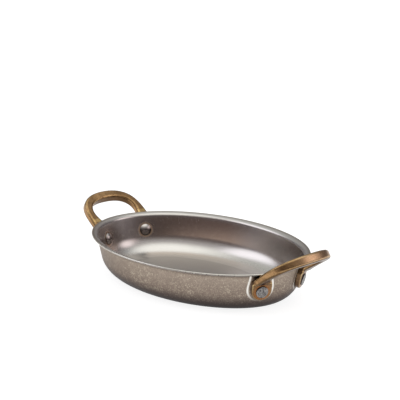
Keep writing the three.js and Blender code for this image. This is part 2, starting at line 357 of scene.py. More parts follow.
def bar_stations():
    """Stations from the front lug to the grip's middle: point, way, top, width, height and sink."""
    lug = rivet_frames[-1]
    foot = WallFrame(-FOOT_SPREAD / 2, body_height - FOOT_DROP)
    leg_way = np.array((
        math.cos(LEG_TILT) * math.cos(LEG_FLARE),
        -math.sin(LEG_FLARE),
        math.sin(LEG_TILT) * math.cos(LEG_FLARE),
    ))
    root_start = lug.point(0, ROOT_STANDOFF, ROOT_RISE)
    leg_start = foot.point(0, FOOT_STANDOFF, 0)
    grip = np.array((rim_a + GRIP_REACH, 0.0, body_height + GRIP_RISE))
    root = (root_start, root_start + ROOT_PULL * lug.up, leg_start - ROOT_PULL * leg_way, leg_start)
    loop = (leg_start, leg_start + LEG_PULL * leg_way, grip - (0, GRIP_PULL, 0), grip)

    stations = []
    for i in range(STEPS_ROOT):
        t = i / STEPS_ROOT
        top = (1 - t) * -lug.out + t * tilted_top(LEG_TILT)
        stations.append((*bezier(*root, t), top))
    for i in range(STEPS_HALF_LOOP + 1):
        t = i / STEPS_HALF_LOOP
        stations.append((*bezier(*loop, t), tilted_top(LEG_TILT + (GRIP_TILT - LEG_TILT) * t)))

    points = np.array([point for point, _, _ in stations])
    travelled = np.concatenate(([0], np.cumsum(np.linalg.norm(np.diff(points, axis=0), axis=1))))
    loop_start = travelled[STEPS_ROOT]
    sized = []
    for (point, way, top), far in zip(stations, travelled):
        taper = 1 - (1 - min(far / TAPER_LENGTH, 1)) ** 2
        swell = smooth((far - loop_start) / (travelled[-1] - loop_start))
        width = ROOT_WIDTH + taper * (LEG_WIDTH - ROOT_WIDTH) + swell * (GRIP_WIDTH - LEG_WIDTH)
        height = ROOT_HEIGHT + taper * (LEG_HEIGHT - ROOT_HEIGHT) + swell * (GRIP_HEIGHT - LEG_HEIGHT)
        sized.append((point, way, top, width, height, taper * BAR_SINK))
    return sized


def bar_ring(point, way, top, width, height, sink):
    """The bar's section, a rectangle with rounded edges, whose middle is sunk below the centre line."""
    outward = np.cross(way, top)
    outward /= np.linalg.norm(outward)
    upward = np.cross(outward, way)
    ring = []
    for corner, (above, beyond) in enumerate(((1, 1), (-1, 1), (-1, -1), (1, -1))):
        centre = (above * (height / 2 - BAR_EDGE_RADIUS) - sink, beyond * (width / 2 - BAR_EDGE_RADIUS))
        start = corner * math.pi / 2
        for rise, reach in arc(centre, BAR_EDGE_RADIUS, start, start + math.pi / 2, STEPS_EDGE):
            ring.append(point + rise * upward + reach * outward)
    return ring


def mirrored(station):
    point, way, top, *sizes = station
    return point * (1, -1, 1), way * (-1, 1, -1), top * (1, -1, 1), *sizes


def make_bar():
    half = bar_stations()
    stations = half + [mirrored(station) for station in half[-2::-1]]
    rings = [bar_ring(*station) for station in stations]
    return skin("bar", rings, stations[0][0], stations[-1][0])


def lug_outline(shrink):
    """The paddle's outline round the rivet, drawn in by a distance."""
    radius = LUG_WIDTH / 2 - shrink
    corner = LUG_CORNER_RADIUS - shrink
    corner_x = LUG_WIDTH / 2 - LUG_CORNER_RADIUS
    corner_y = LUG_RISE - LUG_CORNER_RADIUS
    quarter = math.pi / 2
    return [
        *arc((0, LUG_LIFT), radius, -2 * quarter, 0, STEPS_ROUND // 2),
        *arc((corner_x, corner_y), corner, 0, quarter, STEPS_ROUND // 4),
        *arc((-corner_x, corner_y), corner, quarter, 2 * quarter, STEPS_ROUND // 4),
    ]


def make_lug(wall):
    """A paddle whose back lies inside the sheet and whose face has a rounded edge."""
    back = -SHEET / 2
    edge_centre = (LUG_EDGE_RADIUS, LUG_THICKNESS - LUG_EDGE_RADIUS)
    levels = [(0.0, back), *arc(edge_centre, LUG_EDGE_RADIUS, math.pi, math.pi / 2, STEPS_EDGE)]
    rings = []
    for shrink, out in levels:
        rings.append([wall.point(-across, out, up) for across, up in lug_outline(shrink)])
    return skin("lug", rings, wall.point(0, back, 0), wall.point(0, LUG_THICKNESS, 0))


def make_handle(name, clear_space):
    handle = make_bar()
    handle.name = name
    for wall in rivet_frames.values():
        lug = make_lug(wall)
        combine(handle, lug, "UNION")
        discard(lug)
    cast = handle.modifiers.new("cast", "REMESH")
    cast.mode = "VOXEL"
    cast.voxel_size = HANDLE_VOXEL * MM
    soften = handle.modifiers.new("soften", "SMOOTH")
    soften.factor = HANDLE_SMOOTHING
    soften.iterations = HANDLE_SMOOTHING_ROUNDS
    settle(handle)
    combine(handle, clear_space, "DIFFERENCE")
    handle.data.materials.clear()
    return handle


# Rivets

def rivet_profile():
    """Half section of a rivet as radius and distance out of the wall, from dome to tail."""
    head = HEAD_DIAMETER / 2
    tail = TAIL_DIAMETER / 2
    seat = -(SHEET + RIVET_SEAT)
    brow = seat - HEAD_SKIRT
    dome_radius = (head ** 2 + DOME_HEIGHT ** 2) / (2 * DOME_HEIGHT)
    dome_angle = math.asin(head / dome_radius)
    dome_top = brow - DOME_HEIGHT
    profile = []
    for i in range(1, STEPS_DOME + 1):
        turn = dome_angle * i / STEPS_DOME
        profile.append((dome_radius * math.sin(turn), dome_top + dome_radius * (1 - math.cos(turn))))
    profile += [(head, seat - HEAD_EDGE_RADIUS / 2), (head - HEAD_EDGE_RADIUS, seat)]
    shank = SHANK_DIAMETER / 2
    tail_seat = LUG_THICKNESS + RIVET_SEAT / 2
    flat = tail - TAIL_EDGE_RADIUS
    profile += [(shank, seat), (shank, tail_seat), (flat, tail_seat)]
    face = tail_seat + TAIL_HEIGHT
    edge_centre = (flat, tail_seat + TAIL_EDGE_RADIUS)
    profile += arc(edge_centre, TAIL_EDGE_RADIUS, -math.pi / 2, math.pi / 2, 2 * STEPS_EDGE)
    profile += [(flat * (1 - i / STEPS_TAIL), face) for i in range(1, STEPS_TAIL)]
    return profile


def hammered(x, y):
    """How deep the hammer's dents are at a point of the tail's face."""
    turn = math.pi / DENT_SIZE
    count = len(DENT_WAVES)
    ridges = sum(math.sin(turn * (across * x + up * y) + phase) for across, up, phase in DENT_WAVES)
    return DENT_DEPTH * (ridges + count) / (2 * count)


def make_rivet(name, wall):
    profile = rivet_profile()
    dented = len(profile) - STEPS_TAIL + 1
    rings = []
    for level, (radius, out) in enumerate(profile):
        ring = []
        for k in range(STEPS_ROUND):
            turn = 2 * math.pi * k / STEPS_ROUND
            x, y = -radius * math.cos(turn), radius * math.sin(turn)
            dent = hammered(x, y) if level >= dented else 0.0
            ring.append(wall.point(x, out - dent, y))
        rings.append(ring)
    top = wall.point(0, -(SHEET + RIVET_SEAT + HEAD_SKIRT + DOME_HEIGHT), 0)
    face = wall.point(0, profile[-1][1] - hammered(0, 0), 0)
    return skin(name, rings, top, face)


# Materials. Distances are in millimetres. A fade is a pair of values, where it is 0 and where it is 1.

WEAR = "wear"
WEAR_SPREAD = 3
WEAR_LIMIT = 2
SHORTEST_EDGE = 1e-6
INSET = "inset"


def mark_inset(dish):
    """Stores on each point of the dish how far in from the rim's outline it lies, in millimetres."""
    section = sheet_face(0.0) + lip_edge(0.0) + sheet_face(SHEET)[::-1]
    panel = [rim_b] * (STEPS_PANEL - 1)
    insets = panel + [inset for inset, _ in section] + panel
    values = np.append(np.repeat(insets, STEPS_AROUND_DISH), (rim_b, rim_b))
    attribute = dish.data.attributes.new(INSET, "FLOAT", "POINT")
    attribute.data.foreach_set("value", values.astype(np.float32))


def mark_wear(piece):
    """Stores on each point how far it stands proud of its neighbours, for edges rubbed bright."""
    mesh = piece.data
    count = len(mesh.vertices)
    points = np.empty(count * 3)
    mesh.vertices.foreach_get("co", points)
    points = points.reshape(-1, 3) / MM
    normals = np.empty(count * 3)
    mesh.vertex_normals.foreach_get("vector", normals)
    normals = normals.reshape(-1, 3)
    edges = np.empty(len(mesh.edges) * 2, dtype=np.int64)
    mesh.edges.foreach_get("vertices", edges)
    start, end = edges[0::2], edges[1::2]
    way = points[end] - points[start]
    length = np.maximum(np.linalg.norm(way, axis=1), SHORTEST_EDGE)
    bend = ((normals[end] - normals[start]) * way).sum(axis=1) / length ** 2
    degree = np.maximum(np.bincount(edges, minlength=count), 1)
    wear = (np.bincount(start, bend, count) + np.bincount(end, bend, count)) / degree
    wear = np.clip(wear, -WEAR_LIMIT, WEAR_LIMIT)
    for _ in range(WEAR_SPREAD):
        around = np.bincount(start, wear[end], count) + np.bincount(end, wear[start], count)
        wear = (wear + around / degree) / 2
    attribute = mesh.attributes.new(WEAR, "FLOAT", "POINT")
    attribute.data.foreach_set("value", wear.astype(np.float32))


def srgb(red, green, blue):
    """A linear colour from screen values of 0 to 255."""
    def linear(value):
        share = value / 255
        return share / 12.92 if share <= 0.04045 else ((share + 0.055) / 1.055) ** 2.4
    return linear(red), linear(green), linear(blue), 1.0


class Nodes:
    """A node tree whose nodes are added by short calls."""

    def __init__(self, tree):
        self.tree = tree

    def add(self, kind, sockets=None, **settings):
        node = self.tree.nodes.new(kind)
        for name, value in settings.items():
            setattr(node, name, value)
        for name, value in (sockets or {}).items():
            self.feed(node.inputs[name], value)
        return node

    def feed(self, socket, value):
        """Links a socket to another node, or sets it to a constant."""
        if isinstance(value, bpy.types.NodeSocket):
            self.tree.links.new(value, socket)
        else:
            socket.default_value = value

    def vector(self, operation, a, b=None, scale=None):
        sockets = {0: a}
        if b is not None:
            sockets[1] = b
        if scale is not None:
            sockets["Scale"] = scale
        node = self.add("ShaderNodeVectorMath", sockets, operation=operation)
        return node.outputs["Value" if operation in ("DOT_PRODUCT", "LENGTH") else "Vector"]

    def math(self, operation, a, b=0.0, clamp=False):
        return self.add("ShaderNodeMath", {0: a, 1: b}, operation=operation, use_clamp=clamp).outputs[0]

    def both(self, a, b):
        return self.math("MULTIPLY", a, b)

    def apart(self, a, b):
        """How far two values are from each other."""
        return self.math("ABSOLUTE", self.math("SUBTRACT", a, b))

    def step(self, value, low, high):
        """Goes smoothly from 0 at low to 1 at high. Low may be the larger of the two."""
        sockets = {"Value": value, "From Min": low, "From Max": high}
        return self.add("ShaderNodeMapRange", sockets, interpolation_type="SMOOTHSTEP").outputs[0]

    def span(self, value, low, high):
        """Goes from low to high as the value goes from 0 to 1."""
        return self.add("ShaderNodeMapRange", {"Value": value, "To Min": low, "To Max": high}).outputs[0]

    def ramp(self, value, stops):
        """Blends from colour to colour as the value passes the stops, which lie between 0 and 1."""
        node = self.add("ShaderNodeValToRGB", {"Fac": value})
        elements = node.color_ramp.elements
        while len(elements) < len(stops):
            elements.new(1.0)
        for element, (stop, colour) in zip(elements, stops.items()):
            element.position = stop
            element.color = colour
        return node.outputs["Color"]

    def mix(self, share, a, b):
        return self.add("ShaderNodeMix", {0: share, 6: a, 7: b}, data_type="RGBA").outputs[2]

    def coat(self, under, where, share, colour):
        """Covers a share of what lies under with a colour, where the mask is 1."""
        return self.mix(self.both(where, share), under, colour)


class Finish(Nodes):
    """A metal material. Its coordinates are millimetres in the frame."""

    def __init__(self, name):
        self.material = bpy.data.materials.new(name)
        self.material.use_nodes = True
        super().__init__(self.material.node_tree)
        self.shader = self.tree.nodes["Principled BSDF"]
        self.shader.inputs["Metallic"].default_value = 1.0
        place = self.add("ShaderNodeTexCoord").outputs["Object"]
        self.place = self.vector("SCALE", place, scale=1 / MM)
        self.height = self.add("ShaderNodeSeparateXYZ", {0: self.place}).outputs[2]
        self.facing = self.add("ShaderNodeTexCoord").outputs["Normal"]

    def noise(self, size, detail=2.0, roughness=0.5, distortion=0.0):
        """Noise whose features are about size millimetres across."""
        sockets = {"Vector": self.place, "Scale": 1 / size, "Detail": detail}
        sockets |= {"Roughness": roughness, "Distortion": distortion}
        return self.add("ShaderNodeTexNoise", sockets).outputs["Fac"]

    def lines(self, size, width, distortion):
        """Thin winding lines at the middle values of a noise, solid over a quarter of their width."""
        from_middle = self.apart(self.noise(size, distortion=distortion), 0.5)
        return self.step(from_middle, width, width / 4)

    def stored(self, name):
        """A value that is stored on the mesh's points."""
        return self.add("ShaderNodeAttribute", attribute_name=name).outputs["Fac"]

    def shaded(self, colour, tone):
        return self.vector("SCALE", colour, scale=tone)

    def bump(self, height, depth):
        """Raises the surface by depth millimetres where the height is 1."""
        normal = self.add("ShaderNodeBump", {"Height": height, "Distance": depth * MM}).outputs["Normal"]
        self.tree.links.new(normal, self.shader.inputs["Normal"])

    def paint(self, socket, value):
        self.feed(self.shader.inputs[socket], value)

    def wall_place(self):
        """Distances across, up and out of the wall from the nearest rivet.

        All four rivets are one place when X and Y lose their sign.
        """
        wall = rivet_frames[1]
        folded = self.vector("MULTIPLY", self.vector("ABSOLUTE", self.place), (1, 1, 0))
        upright = self.vector("MULTIPLY", self.place, (0, 0, 1))
        from_rivet = self.vector("SUBTRACT", self.vector("ADD", folded, upright), tuple(wall.origin))
        ways = (wall.across, wall.up, wall.out)
        return [self.vector("DOT_PRODUCT", from_rivet, tuple(way)) for way in ways]

    def length(self, a, b):
        return self.math("SQRT", self.math("ADD", self.both(a, a), self.both(b, b)))


# Outside of the dish: colours by share of its height, darkened towards the base as painted shade, pale
# marks and a painted shadow line under the lip
SHADED_TUMBLED_COLOURS = {
    0.07: srgb(28, 25, 26),
    0.25: srgb(78, 68, 65),
    0.46: srgb(130, 116, 106),
    0.85: srgb(153, 139, 127),
}
TUMBLED_GRAIN_TONE = (0.6, 1.4)
TUMBLED_PATCH_TONE = (0.9, 1.1)
TUMBLED_EDGE_TINT = (0.7, 0.69, 0.69, 1)
TUMBLED_ROUGHNESS = (0.36, 0.48)
TUMBLED_BUMP = 0.02
CROWD_FADE = (0.3, 0.6)
CROWD_SHARES = (0.35, 0.9)
FLECK_FADE = (0.5, 0.66)
FLECK_SHARE = 0.5
SPECK_FADE = (0.62, 0.7)
HAIR_PATCH_FADE = (0.46, 0.58)
MARK_COLOUR = srgb(220, 208, 186)
MARK_SHARE = 0.75
MARK_HEIGHT_FADE = (3.0, 15.0)
MARK_POLISH = 0.1
# Painted shadow: a dark line on the outer wall just under the lip
LIP_SHADOW_COLOUR = srgb(58, 50, 47)
LIP_SHADOW_SHARE = 0.65
LIP_SHADOW_FADE = (LIP_WIDTH + 0.6, LIP_WIDTH - 0.2)

# Bright ring on the wall round each lug: distances from the lug's edge, heights from the rivet
RING_COLOUR = srgb(240, 237, 230)
RING_INNER_FADE = (0.9, 1.3)
RING_OUTER_FADE = (2.5, 2.0)
RING_LOW_FADE = (-9.0, 0.0)
RING_DRAW_IN = 1.1
RING_DRAW_IN_FADE = (1.0, 10.0)


def outer_steel():
    """Tumbled steel: taupe, darkened towards the base as painted shade, with pale flecks and hairlines.
    """
    finish = Finish("tumbled_steel")
    grain = finish.noise(size=0.6, detail=3.0, roughness=0.6)
    crowd = finish.span(finish.step(finish.noise(size=16.0), *CROWD_FADE), *CROWD_SHARES)
    flecks = finish.step(finish.noise(size=0.7, detail=5.0, roughness=0.7), *FLECK_FADE)
    specks = finish.step(finish.noise(size=0.7, detail=4.0), *SPECK_FADE)
    hairs = finish.lines(size=2.4, width=0.03, distortion=1.4)
    hairs = finish.both(hairs, finish.step(finish.noise(size=2.8), *HAIR_PATCH_FADE))
    scratches = finish.both(finish.math("MAXIMUM", specks, hairs), crowd)
    marks = finish.math("MAXIMUM", finish.both(flecks, FLECK_SHARE), scratches)
    pale = finish.both(finish.both(marks, MARK_SHARE), finish.step(finish.height, *MARK_HEIGHT_FADE))

    # Painted shade: the colours by height darken the outside towards its base.
    shaded_base = finish.ramp(finish.both(finish.height, 1 / body_height), SHADED_TUMBLED_COLOURS)
    grain_tone = finish.span(grain, *TUMBLED_GRAIN_TONE)
    tone = finish.both(grain_tone, finish.span(finish.noise(size=7.0), *TUMBLED_PATCH_TONE))
    colour = finish.mix(pale, finish.shaded(shaded_base, tone), MARK_COLOUR)
    # Painted shadow under the lip.
    lip_shadow = finish.step(finish.stored(INSET), *LIP_SHADOW_FADE)
    colour = finish.coat(colour, lip_shadow, LIP_SHADOW_SHARE, LIP_SHADOW_COLOUR)
    finish.paint("Base Color", finish.mix(lug_ring(finish), colour, RING_COLOUR))
    finish.paint("Specular Tint", TUMBLED_EDGE_TINT)
    polish = finish.both(pale, MARK_POLISH)
    finish.paint("Roughness", finish.math("SUBTRACT", finish.span(grain, *TUMBLED_ROUGHNESS), polish))
    finish.bump(finish.math("ADD", grain, pale), TUMBLED_BUMP)
    return finish.material


def lug_ring(finish):
    """A thin bright ring on the wall beside and below each lug, which draws in towards the lip."""
    across, up, _ = finish.wall_place()
    below = finish.math("MINIMUM", finish.math("SUBTRACT", up, LUG_LIFT), 0.0)
    drawn_in = finish.both(finish.step(up, *RING_DRAW_IN_FADE), RING_DRAW_IN)
    half_width = finish.math("SUBTRACT", LUG_WIDTH / 2, drawn_in)
    beside = finish.math("SUBTRACT", finish.length(across, below), half_width)
    ring = finish.both(finish.step(beside, *RING_INNER_FADE), finish.step(beside, *RING_OUTER_FADE))
    return finish.both(ring, finish.step(up, *RING_LOW_FADE))


# Inside of the dish. The wall's fades are heights, those of tint, halo and the painted shade at the
# floor panel's foot are distances, and the others are insets.
SATIN_COLOURS = (srgb(197, 192, 188), srgb(204, 200, 196))
SATIN_TONE = (0.9, 1.1)
SATIN_ROUGHNESS = (0.22, 0.3)
SATIN_BUMP = 0.0015
INNER_WALL_COLOUR = srgb(180, 172, 168)
INNER_WALL_SHARE = 0.25
INNER_WALL_LOW_FADE = (8.0, 13.0)
INNER_WALL_HIGH_FADE = (27.0, 23.0)
TINT_COLOUR = srgb(190, 162, 134)
TINT_SHARE = 0.5
TINT_PLACE = (-48, 44, 14)
TINT_FADE = (52.0, 22.0)
HALO_COLOUR = srgb(206, 176, 146)
HALO_SHARE = 0.7
HALO_FADE = (1.7, 0.5)
# Painted shade: a fine dark line in the crease at the floor panel's foot
FOOT_SHADE_COLOUR = srgb(122, 112, 102)
FOOT_SHADE_SHARE = 0.5
FOOT_SHADE_FADE = (PANEL_RAMP_WIDTH, 0.2)
PANEL_TONE = (1.0, 0.78)
PANEL_FADE = (panel_inset + 1.0, panel_inset + 3.5)
BY_EDGE_COLOUR = srgb(158, 149, 134)
BY_EDGE_SHARE = 0.7
BY_EDGE_FADE = (2.6, 0.9)
DULL_LIP_FADE = (LIP_WIDTH + 1.0, LIP_WIDTH - 0.5)
DULL_FOOT_FADE = (14.0, 22.0)
DULLING = 0.17


def inner_steel():
    """Satin steel, warm on one stretch of wall and round the rivet heads.

    A fine line of painted shade runs round the floor panel's foot, in its crease, and the lip darkens
    towards its edge.
    """
    finish = Finish("satin_steel")
    grain = finish.noise(size=0.8, detail=4.0, roughness=0.65)
    colour = finish.mix(finish.noise(size=14.0), *SATIN_COLOURS)
    colour = finish.shaded(colour, finish.span(grain, *SATIN_TONE))
    above_foot = finish.step(finish.height, *INNER_WALL_LOW_FADE)
    on_wall = finish.both(above_foot, finish.step(finish.height, *INNER_WALL_HIGH_FADE))
    colour = finish.coat(colour, on_wall, INNER_WALL_SHARE, INNER_WALL_COLOUR)
    from_tint = finish.vector("LENGTH", finish.vector("SUBTRACT", finish.place, TINT_PLACE))
    tint = finish.both(on_wall, finish.step(from_tint, *TINT_FADE))
    colour = finish.coat(colour, tint, TINT_SHARE, TINT_COLOUR)
    across, up, _ = finish.wall_place()
    from_head = finish.math("SUBTRACT", finish.length(across, up), HEAD_DIAMETER / 2)
    halo = finish.step(from_head, *HALO_FADE)
    colour = finish.coat(colour, halo, HALO_SHARE, HALO_COLOUR)

    inset = finish.stored(INSET)
    # Painted shade in the crease at the floor panel's foot.
    from_ramp = finish.apart(inset, panel_inset - PANEL_RAMP_WIDTH / 2)
    foot_shade = finish.step(from_ramp, *FOOT_SHADE_FADE)
    on_panel = finish.step(inset, *PANEL_FADE)
    colour = finish.shaded(colour, finish.span(on_panel, *PANEL_TONE))
    colour = finish.coat(colour, foot_shade, FOOT_SHADE_SHARE, FOOT_SHADE_COLOUR)
    by_edge = finish.step(inset, *BY_EDGE_FADE)
    finish.paint("Base Color", finish.coat(colour, by_edge, BY_EDGE_SHARE, BY_EDGE_COLOUR))
    on_lip = finish.step(inset, *DULL_LIP_FADE)
    on_foot = finish.step(inset, *DULL_FOOT_FADE)
    dull = finish.math("ADD", finish.math("ADD", halo, on_lip), on_foot, clamp=True)
    dulling = finish.both(dull, DULLING)
    finish.paint("Roughness", finish.math("ADD", finish.span(grain, *SATIN_ROUGHNESS), dulling))
    finish.bump(grain, SATIN_BUMP)
    return finish.material


CUT_COLOURS = (srgb(212, 208, 200), srgb(228, 224, 216))
CUT_ROUGHNESS = (0.24, 0.32)


def cut_edge_steel():
    """The lip's cut edge, ground smooth."""
    finish = Finish("ground_edge")
    grain = finish.noise(size=2.5)
    finish.paint("Base Color", finish.mix(grain, *CUT_COLOURS))
    finish.paint("Roughness", finish.span(grain, *CUT_ROUGHNESS))
    return finish.material


# Brass: patina, and ridges that are rubbed and bright
PATINA_COLOURS = (srgb(160, 125, 87), srgb(186, 147, 104))
PATINA_FADE = (0.35, 0.65)
BRASS_GRAIN_FADE = (0.3, 0.7)
BRASS_TONE = (0.6, 1.16)
BRASS_ROUGHNESS = (0.24, 0.36)
BRASS_BUMP = 0.025
RUBBED_COLOUR = srgb(208, 172, 118)
RUBBED_SHARE = 0.65
RUBBED_WEAR_FADE = (0.08, 0.4)
RUBBED_PATCH_FADE = (0.36, 0.62)
BRIGHT_COLOUR = srgb(242, 214, 158)
BRIGHT_SHARE = 0.8
BRIGHT_WEAR_FADE = (0.26, 0.5)
BRIGHT_PATCH_FADE = (0.22, 0.5)
BRIGHT_POLISH = 0.1

# Brass on the lugs: distances from the rivet, and out of the wall
LUG_COAT_SHARE = 0.85
LUG_COAT_FADE = (LUG_WIDTH / 2 + 2.0, LUG_WIDTH / 2 - 1.5)
LUG_COAT_OUT_FADE = (5.0, 3.5)
LUG_RIM_COLOUR = srgb(108, 80, 57)
COPPER_COLOUR = srgb(148, 97, 58)
COPPER_FADE = (6.2, 4.4)
# Painted shade: the lug darkens by the wall
LUG_SHADE_COLOUR = srgb(98, 77, 60)
LUG_SHADE_SHARE = 0.8
LUG_SHADE_OUT_FADE = (LUG_THICKNESS - LUG_EDGE_RADIUS / 2, LUG_THICKNESS - LUG_EDGE_RADIUS)
# Painted shadow in the crease where the bar's root meets the lug
ROOT_SHADOW_FADE = (1.1, 0.5)
ROOT_SHADOW_SHARE = 0.7

# Brass on the bar: distances from the loop's middle, heights, and how far a face turns up or inward
INWARD_SCALE = (-0.01, -0.01, 0)
# Painted shade: faces of the bar that turn up or outward darken away from the grip's middle
BAR_SHADE_COLOUR = srgb(92, 68, 46)
BAR_SHADE_MIDDLE_FADE = (6.0, 12.0)
TOP_SHADE_SHARE = 0.36
TOP_SHADE_FADE = (0.2, 0.7)
OUTER_SHADE_SHARE = 0.16
OUTER_SHADE_FADE = (-0.2, -0.6)
HANDLED_COLOUR = srgb(212, 178, 142)
HANDLED_SHARE = 0.7
HANDLED_MIDDLE_FADE = (19.0, 3.0)
HANDLED_OUTER_FADE = (-0.1, -0.7)
OVER_LIP_COLOUR = srgb(226, 192, 128)
OVER_LIP_SHARE = 0.5
OVER_LIP_HIGH_FADE = (body_height + 1.7, body_height + 0.9)
OVER_LIP_LOW_FADE = (body_height - 0.5, body_height)
OVER_LIP_INWARD_FADE = (0.1, 0.4)
# Painted shade on faces of the bar that turn down, off the lugs
UNDERSIDE_SHADE_COLOUR = srgb(68, 49, 36)
UNDERSIDE_SHADE_SHARE = 0.8
UNDERSIDE_SHADE_FADE = (0.1, -0.3)


def aged_brass():
    """Cast brass with a brown patina: gold on its ridges, coppery round the rivets, with painted shade
    by the wall, in the crease at the bar's root and on faces of the bar that turn up, outward or down.
    """
    finish = Finish("aged_brass")
    grain = finish.noise(size=0.45, detail=4.0)
    patches = finish.noise(size=3.2, detail=3.0)
    worn = finish.stored(WEAR)
    colour = finish.mix(finish.step(patches, *PATINA_FADE), *PATINA_COLOURS)
    rubbed = finish.step(finish.noise(size=2.4, detail=4.0), *RUBBED_PATCH_FADE)
    rubbed = finish.both(finish.step(worn, *RUBBED_WEAR_FADE), rubbed)
    colour = finish.coat(colour, rubbed, RUBBED_SHARE, RUBBED_COLOUR)
    bright = finish.step(finish.noise(size=3.5), *BRIGHT_PATCH_FADE)
    bright = finish.both(finish.step(worn, *BRIGHT_WEAR_FADE), bright)
    colour = finish.coat(colour, bright, BRIGHT_SHARE, BRIGHT_COLOUR)

    across, up, out = finish.wall_place()
    from_rivet = finish.length(across, up)
    on_lug = finish.both(finish.step(from_rivet, *LUG_COAT_FADE), finish.step(out, *LUG_COAT_OUT_FADE))
    lug_colour = finish.mix(finish.step(from_rivet, *COPPER_FADE), LUG_RIM_COLOUR, COPPER_COLOUR)
    colour = finish.coat(colour, on_lug, LUG_COAT_SHARE, lug_colour)
    # Painted shadow in the crease at the bar's root, and painted shade on the lug by the wall.
    crease = finish.both(finish.step(finish.apart(up, ROOT_RISE), *ROOT_SHADOW_FADE), on_lug)
    wall_shade = finish.step(out, *LUG_SHADE_OUT_FADE)
    lug_shade = finish.math("MAXIMUM", wall_shade, finish.both(crease, ROOT_SHADOW_SHARE))
    colour = finish.coat(colour, lug_shade, LUG_SHADE_SHARE, LUG_SHADE_COLOUR)

    to_middle = finish.vector("MULTIPLY", finish.place, INWARD_SCALE)
    inward = finish.vector("DOT_PRODUCT", finish.facing, to_middle)
    from_middle = finish.math("ABSOLUTE", finish.vector("DOT_PRODUCT", finish.place, (0, 1, 0)))
    upward = finish.vector("DOT_PRODUCT", finish.facing, (0, 0, 1))
    # Painted shade on faces that turn up or outward, away from the grip's middle.
    top_shade = finish.both(finish.step(upward, *TOP_SHADE_FADE), TOP_SHADE_SHARE)
    outer_shade = finish.both(finish.step(inward, *OUTER_SHADE_FADE), OUTER_SHADE_SHARE)
    bar_shade = finish.math("MAXIMUM", top_shade, outer_shade)
    colour = finish.coat(colour, finish.step(from_middle, *BAR_SHADE_MIDDLE_FADE), bar_shade, BAR_SHADE_COLOUR)
    on_grip = finish.step(from_middle, *HANDLED_MIDDLE_FADE)
    handled = finish.both(on_grip, finish.step(inward, *HANDLED_OUTER_FADE))
    colour = finish.coat(colour, handled, HANDLED_SHARE, HANDLED_COLOUR)
    over_lip = finish.step(finish.height, *OVER_LIP_HIGH_FADE)
    over_lip = finish.both(over_lip, finish.step(finish.height, *OVER_LIP_LOW_FADE))
    over_lip = finish.both(over_lip, finish.step(inward, *OVER_LIP_INWARD_FADE))
    colour = finish.coat(colour, over_lip, OVER_LIP_SHARE, OVER_LIP_COLOUR)
    # Painted shade on faces that turn down.
    off_lug = finish.math("SUBTRACT", 1.0, on_lug)
    underside_shade = finish.both(finish.step(upward, *UNDERSIDE_SHADE_FADE), off_lug)
    colour = finish.coat(colour, underside_shade, UNDERSIDE_SHADE_SHARE, UNDERSIDE_SHADE_COLOUR)

    tone = finish.span(finish.step(grain, *BRASS_GRAIN_FADE), *BRASS_TONE)
    finish.paint("Base Color", finish.shaded(colour, tone))
    polish = finish.both(bright, BRIGHT_POLISH)
    finish.paint("Roughness", finish.math("SUBTRACT", finish.span(grain, *BRASS_ROUGHNESS), polish))
    finish.bump(finish.math("ADD", grain, patches), BRASS_BUMP)
    return finish.material


# Rivets: a head's colours from its lowest point to its highest, darker low down as painted shade, and a
# tail's from its pits to its face
HEAD_SHADED_COLOURS = {
    0.02: srgb(126, 117, 112),
    0.55: srgb(142, 134, 130),
    0.85: srgb(186, 180, 176),
}
HEAD_TONE = (0.9, 1.1)
HEAD_ROUGHNESS = (0.22, 0.28)
TAIL_COLOURS = (srgb(86, 83, 82), srgb(152, 149, 147))
TAIL_PIT_FADE = (0.38, 0.62)
TAIL_ROUGHNESS = (0.34, 0.46)
TAIL_BUMP = 0.06


def head_steel():
    """A rivet's domed head, polished, with painted shade darkening its lower half."""
    finish = Finish("rivet_head_steel")
    haze = finish.noise(size=2.0)
    _, up, _ = finish.wall_place()
    level = finish.math("ADD", finish.both(up, 1 / HEAD_DIAMETER), 0.5)
    # Painted shade: the head darkens towards its lowest point.
    lower_shade = finish.ramp(level, HEAD_SHADED_COLOURS)
    finish.paint("Base Color", finish.shaded(lower_shade, finish.span(haze, *HEAD_TONE)))
    finish.paint("Roughness", finish.span(haze, *HEAD_ROUGHNESS))
    return finish.material


def tail_steel():
    """A rivet's tail, dull grey and pitted by the hammer."""
    finish = Finish("rivet_tail_steel")
    pits = finish.noise(size=0.9, detail=4.0)
    finish.paint("Base Color", finish.mix(finish.step(pits, *TAIL_PIT_FADE), *TAIL_COLOURS))
    finish.paint("Roughness", finish.span(pits, *TAIL_ROUGHNESS))
    finish.bump(pits, TAIL_BUMP)
    return finish.material


# Pieces

OUTER, INNER, CUT_EDGE = range(3)
RIVET_SIDES = {"right": {"front": -1, "rear": 1}, "left": {"front": 1, "rear": -1}}

brass = aged_brass()
rivet_metals = (head_steel(), tail_steel())


def dress_dish(dish):
    """Tumbled steel outside, satin steel inside and a smooth cut edge between them."""
    outside = STEPS_PANEL - 1 + len(sheet_face(0.0))
    edge = outside + 2 * (STEPS_LIP_EDGE + 1)
    for material in (outer_steel(), inner_steel(), cut_edge_steel()):
        dish.data.materials.append(material)
    middles = len(dish.data.vertices) - 2
    for face in dish.data.polygons:
        ring = min(v // STEPS_AROUND_DISH for v in face.vertices if v < middles)
        if ring >= edge - 1:
            face.material_index = INNER
        elif ring >= outside:
            face.material_index = CUT_EDGE
        else:
            face.material_index = OUTER


def dress_rivet(rivet):
    """A smooth head and shank, and a pitted tail."""
    for material in rivet_metals:
        rivet.data.materials.append(material)
    tail = STEPS_DOME + STEPS_SHANK
    for face in rivet.data.polygons:
        face.material_index = int(min(face.vertices) // STEPS_ROUND >= tail)


dish = make_dish()
shade(dish, DISH_CREASE)
mark_inset(dish)
dress_dish(dish)
place(dish, "dish_body", "steel")

